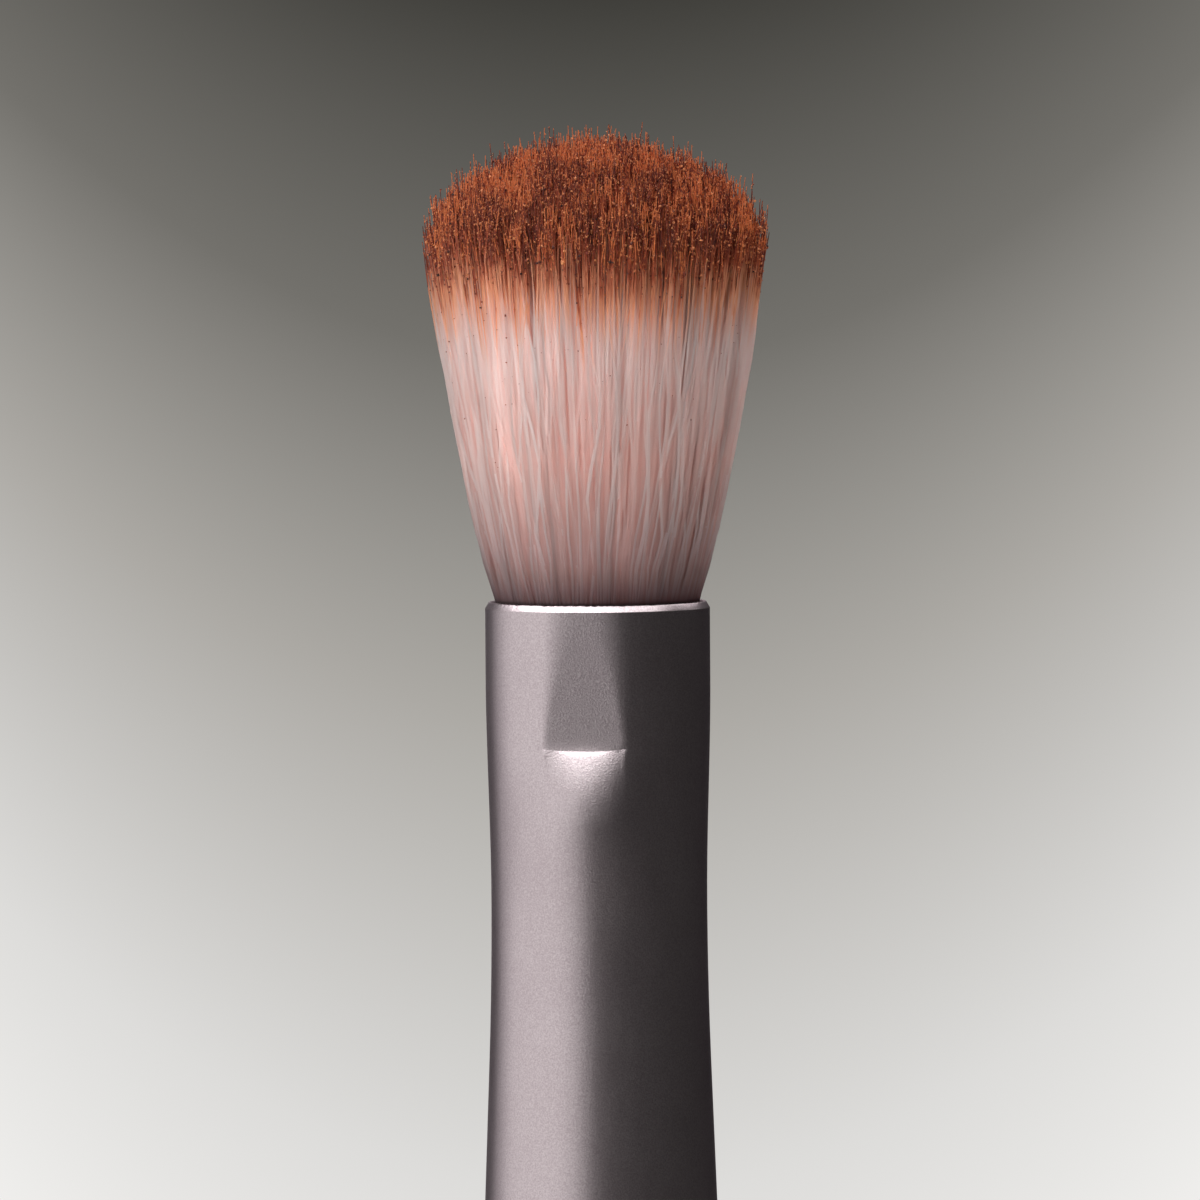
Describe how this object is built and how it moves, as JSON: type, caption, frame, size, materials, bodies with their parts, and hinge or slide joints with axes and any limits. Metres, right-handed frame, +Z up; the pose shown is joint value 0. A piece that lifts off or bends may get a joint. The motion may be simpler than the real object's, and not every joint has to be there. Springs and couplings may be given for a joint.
{
  "type": "eyeshadow blending brush",
  "caption": "Slim cosmetic brush: a domed, springy bristle tuft in a waisted metal ferrule with a pressed thumb flat, on a flared soft-touch handle with a flat metal foot.",
  "frame": {"origin": "centre of the flat foot under the base cap", "axes": "+Z up the brush's axis from the foot to the bristle tips, -Y out of the pressed thumb flat on the front of the ferrule"},
  "size_m": [0.0132, 0.0132, 0.1503],
  "materials": {
    "anodised_aluminium": "drawn aluminium, satin anodised with a mauve-pink tint",
    "soft_touch_rubber": "soft-touch over-moulded elastomer, matt mauve-grey",
    "moulded_plastic": "injection-moulded plastic, fine matt",
    "epoxy": "hardened amber epoxy",
    "cotton_thread": "twisted cotton thread",
    "bristle_filament": "tapered synthetic filaments, pale pink and translucent, with copper eyeshadow powder on the tips"
  },
  "bodies": {
    "handle": {"base_cap": "anodised_aluminium", "grip_sleeve": "soft_touch_rubber", "handle_core": "moulded_plastic", "glue_ring_lower": "epoxy", "glue_ring_upper": "epoxy", "ferrule": "anodised_aluminium", "root_plug": "epoxy", "tie_thread": "cotton_thread", "bristle_roots": "bristle_filament"},
    "tuft": {"bristle_lock_core": "bristle_filament", "bristle_lock_inner_1": "bristle_filament", "bristle_lock_inner_2": "bristle_filament", "bristle_lock_inner_3": "bristle_filament", "bristle_lock_inner_4": "bristle_filament", "bristle_lock_inner_5": "bristle_filament", "bristle_lock_inner_6": "bristle_filament", "bristle_lock_outer_1": "bristle_filament", "bristle_lock_outer_2": "bristle_filament", "bristle_lock_outer_3": "bristle_filament", "bristle_lock_outer_4": "bristle_filament", "bristle_lock_outer_5": "bristle_filament", "bristle_lock_outer_6": "bristle_filament", "bristle_lock_outer_7": "bristle_filament", "bristle_lock_outer_8": "bristle_filament", "bristle_lock_outer_9": "bristle_filament", "bristle_lock_outer_10": "bristle_filament", "bristle_lock_outer_11": "bristle_filament", "bristle_lock_outer_12": "bristle_filament"}
  },
  "joints": [
    {"name": "tuft_bend", "type": "hinge", "parent": "handle", "child": "tuft", "pos_m": [0, 0, 0.1343], "axis": [0, 1, 0], "range_deg": [-30, 30], "stiffness_Nm_per_rad": 0.011, "deforming": ["bristle_roots"]}
  ]
}
